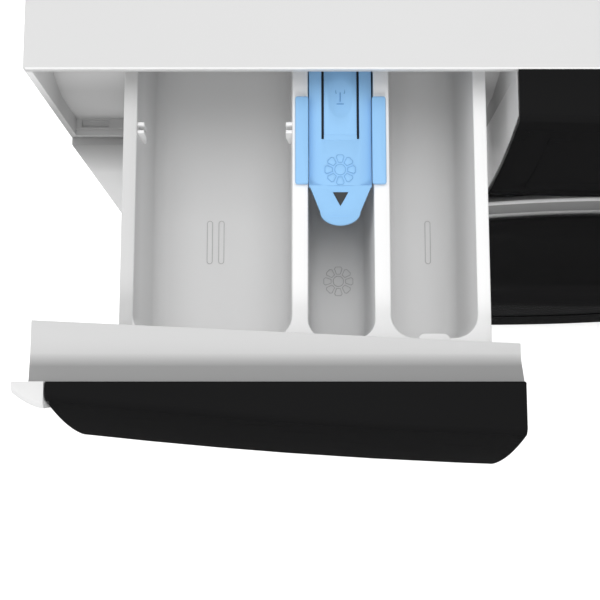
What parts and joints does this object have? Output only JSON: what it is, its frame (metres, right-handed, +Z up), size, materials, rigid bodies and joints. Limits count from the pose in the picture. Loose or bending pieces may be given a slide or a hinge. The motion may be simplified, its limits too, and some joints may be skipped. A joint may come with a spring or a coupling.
{
  "type": "front load washing machine",
  "caption": "Free-standing front load washing machine with a black fascia and door, its detergent drawer pulled out, a sprung tub and a belt-driven drum.",
  "frame": {"origin": "on the floor, under the middle of the whole outline with the drawer open", "axes": "+Z up, the front with its door faces -Y, +X is the machine's right seen from the front"},
  "size_m": [0.598, 0.7308, 0.848],
  "materials": {
    "white_enamel": "stove enamel, satin",
    "white_worktop": "white laminate, satin",
    "white_plastic": "moulded, satin",
    "drawer_white": "moulded polypropylene, satin",
    "gloss_black": "piano black, glossy",
    "grey_plastic": "moulded, matt",
    "blue_plastic": "translucent moulded, smooth",
    "smoked_glass": "smoked, polished",
    "clear_glass": "clear, polished",
    "inner_polymer": "moulded, matt",
    "rubber_grey": "moulded, matt",
    "stainless": "brushed",
    "zinc_steel": "zinc plated",
    "cast_aluminium": "as cast",
    "cast_iron": "rough cast"
  },
  "bodies": {
    "cabinet": {"worktop": "white_worktop", "left_side_panel": "white_enamel", "right_side_panel": "white_enamel", "front_panel": "white_enamel", "rear_panel": "white_enamel", "rear_service_cover": "zinc_steel", "mains_inlet": "rubber_grey", "base_tray": "inner_polymer", "plinth": "white_plastic", "control_fascia": "white_plastic", "fascia_overlay": "gloss_black", "display_window": "smoked_glass", "control_module": "inner_polymer", "front_brace": "zinc_steel", "door_lock": "inner_polymer", "dispenser_housing": "inner_polymer", "inlet_valve": "inner_polymer", "hinge_bracket": "zinc_steel", "drain_pump": "inner_polymer", "sump_hose": "rubber_grey", "drain_outlet": "inner_polymer", "door_gasket": "rubber_grey", "spring_left": "stainless", "spring_right": "stainless", "damper_cylinder_left": "rubber_grey", "damper_cylinder_right": "rubber_grey"},
    "drawer": {"drawer_front_cover": "gloss_black", "drawer_front_body": "drawer_white", "drawer_tray": "drawer_white", "siphon_insert": "blue_plastic"},
    "tongue": {"release_tongue": "blue_plastic"},
    "door": {"door_outer_ring": "gloss_black", "door_rear_ring": "grey_plastic", "door_glass_bowl": "clear_glass", "door_front_glass": "smoked_glass", "door_hinge_arm": "zinc_steel"},
    "handle": {"door_handle": "gloss_black"},
    "latch": {"latch_hook": "zinc_steel"},
    "tub": {"tub_front_shell": "inner_polymer", "tub_rear_shell": "inner_polymer", "heating_element": "stainless", "front_counterweight": "cast_iron", "upper_counterweight": "cast_iron", "drum_bearing": "stainless", "drive_belt": "rubber_grey", "motor": "cast_aluminium", "damper_rod_left": "stainless", "damper_rod_right": "stainless"},
    "drum": {"drum_shell": "stainless", "drum_spider": "cast_aluminium", "drum_pulley": "cast_aluminium"},
    "motor_rotor": {"motor_pulley": "stainless"},
    "dial": {"programme_dial": "gloss_black"},
    "start_key": {"start_button": "gloss_black"},
    "flap": {"pump_flap": "white_plastic"},
    "filter": {"pump_filter": "grey_plastic"},
    "foot_fl": {"foot_front_left": "rubber_grey"},
    "foot_fr": {"foot_front_right": "rubber_grey"},
    "foot_rl": {"foot_rear_left": "rubber_grey"},
    "foot_rr": {"foot_rear_right": "rubber_grey"}
  },
  "joints": [
    {"name": "drawer_slide", "type": "slide", "parent": "cabinet", "child": "drawer", "axis": [0, 1, 0], "range_m": [0, 0.1316]},
    {"name": "tongue_press", "type": "hinge", "parent": "drawer", "child": "tongue", "pos_m": [-0.16415, -0.2236, 0.827], "axis": [-1, 0, 0], "range_deg": [0, 4], "stiffness_Nm_per_rad": 0.5},
    {"name": "door_hinge", "type": "hinge", "parent": "cabinet", "child": "door", "pos_m": [-0.24, -0.2326, 0.465], "axis": [0, 0, -1], "range_deg": [0, 160]},
    {"name": "handle_pull", "type": "hinge", "parent": "door", "child": "handle", "pos_m": [0.2015, -0.2526, 0.465], "axis": [0, 0, -1], "range_deg": [0, 12], "stiffness_Nm_per_rad": 2},
    {"name": "latch_turn", "type": "hinge", "parent": "door", "child": "latch", "pos_m": [0.196, -0.2256, 0.467], "axis": [0, 0, 1], "range_deg": [0, 8]},
    {"name": "tub_bounce", "type": "slide", "parent": "cabinet", "child": "tub", "axis": [0, 0, 1], "range_m": [-0.01, 0.006], "stiffness_N_per_m": 7000, "springref_m": 0.0626, "deforming": ["spring_left", "spring_right", "door_gasket", "sump_hose"]},
    {"name": "drum_spin", "type": "hinge", "parent": "tub", "child": "drum", "pos_m": [0, 0.0504, 0.465], "axis": [0, 1, 0], "continuous": true},
    {"name": "motor_spin", "type": "hinge", "parent": "tub", "child": "motor_rotor", "pos_m": [0, 0.3004, 0.112], "axis": [0, 1, 0], "continuous": true},
    {"name": "dial_turn", "type": "hinge", "parent": "cabinet", "child": "dial", "pos_m": [0.09, -0.2346, 0.804], "axis": [0, 1, 0], "continuous": true},
    {"name": "start_press", "type": "slide", "parent": "cabinet", "child": "start_key", "axis": [0, 1, 0], "range_m": [0, 0.0015], "stiffness_N_per_m": 600},
    {"name": "flap_hinge", "type": "hinge", "parent": "cabinet", "child": "flap", "pos_m": [0.206, -0.2028, 0.033], "axis": [1, 0, 0], "range_deg": [0, 90]},
    {"name": "filter_turn", "type": "hinge", "parent": "cabinet", "child": "filter", "pos_m": [0.206, -0.1696, 0.062], "axis": [0, 1, 0], "range_deg": [0, 180]},
    {"name": "foot_front_left_screw", "type": "hinge", "parent": "cabinet", "child": "foot_fl", "pos_m": [-0.262, -0.1496, 0.02], "axis": [0, 0, 1], "continuous": true},
    {"name": "foot_front_right_screw", "type": "hinge", "parent": "cabinet", "child": "foot_fr", "pos_m": [0.262, -0.1496, 0.02], "axis": [0, 0, 1], "continuous": true},
    {"name": "foot_rear_left_screw", "type": "hinge", "parent": "cabinet", "child": "foot_rl", "pos_m": [-0.262, 0.3004, 0.02], "axis": [0, 0, 1], "continuous": true},
    {"name": "foot_rear_right_screw", "type": "hinge", "parent": "cabinet", "child": "foot_rr", "pos_m": [0.262, 0.3004, 0.02], "axis": [0, 0, 1], "continuous": true}
  ],
  "couplings": [
    {"joint": "motor_spin", "follows": "drum_spin", "ratio": 10},
    {"joint": "latch_turn", "follows": "handle_pull", "ratio": 0.6}
  ]
}
